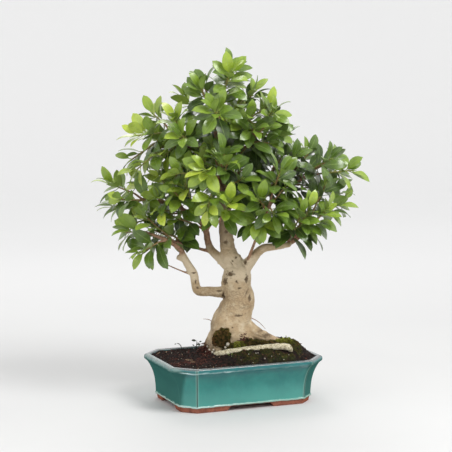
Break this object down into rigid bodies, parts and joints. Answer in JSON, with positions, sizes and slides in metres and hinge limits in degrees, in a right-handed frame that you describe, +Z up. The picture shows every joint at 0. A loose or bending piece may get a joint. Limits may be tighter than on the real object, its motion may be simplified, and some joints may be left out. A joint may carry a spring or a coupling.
{
  "type": "chinese banyan bonsai",
  "caption": "Bonsai fig tree with a thick flared trunk, bent limbs and glossy oval leaves, rooted in banked soil in an eight-sided glazed pot on clay feet.",
  "frame": {"origin": "on the surface the pot stands on, below the middle of the pot, which is also the middle of the whole plant's box", "axes": "+Z up; +X along the pot's long side; -Y is the pot's front. The tree's best side faces 22.4 degrees from the front, towards -X"},
  "size_m": [0.5066, 0.3242, 0.693],
  "materials": {
    "glaze": "glossy turquoise glaze, paler where thin at the rim and foot line, bare terracotta feet",
    "soil": "dark crumbly potting soil with bark bits and white grains",
    "bark": "smooth grey-beige bark with tan patches and small scars",
    "leaf": "glossy dark green leaf",
    "young_leaf": "glossy yellow-green young leaf",
    "plastic_mesh": "black moulded mesh"
  },
  "bodies": {
    "root": {"tree": "bark", "spray_01": "leaf", "spray_02": "young_leaf", "spray_03": "leaf", "spray_04": "leaf", "spray_05": "leaf", "spray_06": "young_leaf", "spray_07": "young_leaf", "spray_08": "young_leaf", "spray_09": "young_leaf", "spray_10": "young_leaf", "spray_11": "young_leaf", "spray_12": "leaf", "spray_13": "young_leaf", "spray_14": "leaf", "spray_15": "leaf", "spray_16": "leaf", "spray_17": "leaf", "spray_18": "leaf", "spray_19": "leaf", "spray_20": "young_leaf", "spray_21": "young_leaf", "spray_22": "leaf", "spray_23": "leaf", "spray_24": "leaf", "spray_25": "young_leaf", "spray_26": "leaf", "spray_27": "leaf", "spray_28": "leaf", "spray_29": "leaf", "spray_30": "young_leaf", "spray_31": "leaf", "spray_32": "young_leaf", "spray_33": "leaf", "spray_34": "young_leaf", "spray_35": "young_leaf", "spray_36": "young_leaf", "spray_37": "leaf", "spray_38": "leaf", "spray_39": "leaf", "spray_40": "leaf", "spray_41": "young_leaf", "spray_42": "leaf", "spray_43": "leaf", "spray_44": "leaf", "spray_45": "young_leaf", "spray_46": "young_leaf", "spray_47": "leaf", "spray_48": "leaf", "spray_49": "young_leaf", "spray_50": "leaf", "spray_51": "young_leaf", "spray_52": "leaf", "spray_53": "young_leaf", "spray_54": "leaf", "spray_55": "leaf", "pot": "glaze", "drain_screen_left": "plastic_mesh", "drain_screen_right": "plastic_mesh", "soil": "soil"}
  },
  "joints": []
}
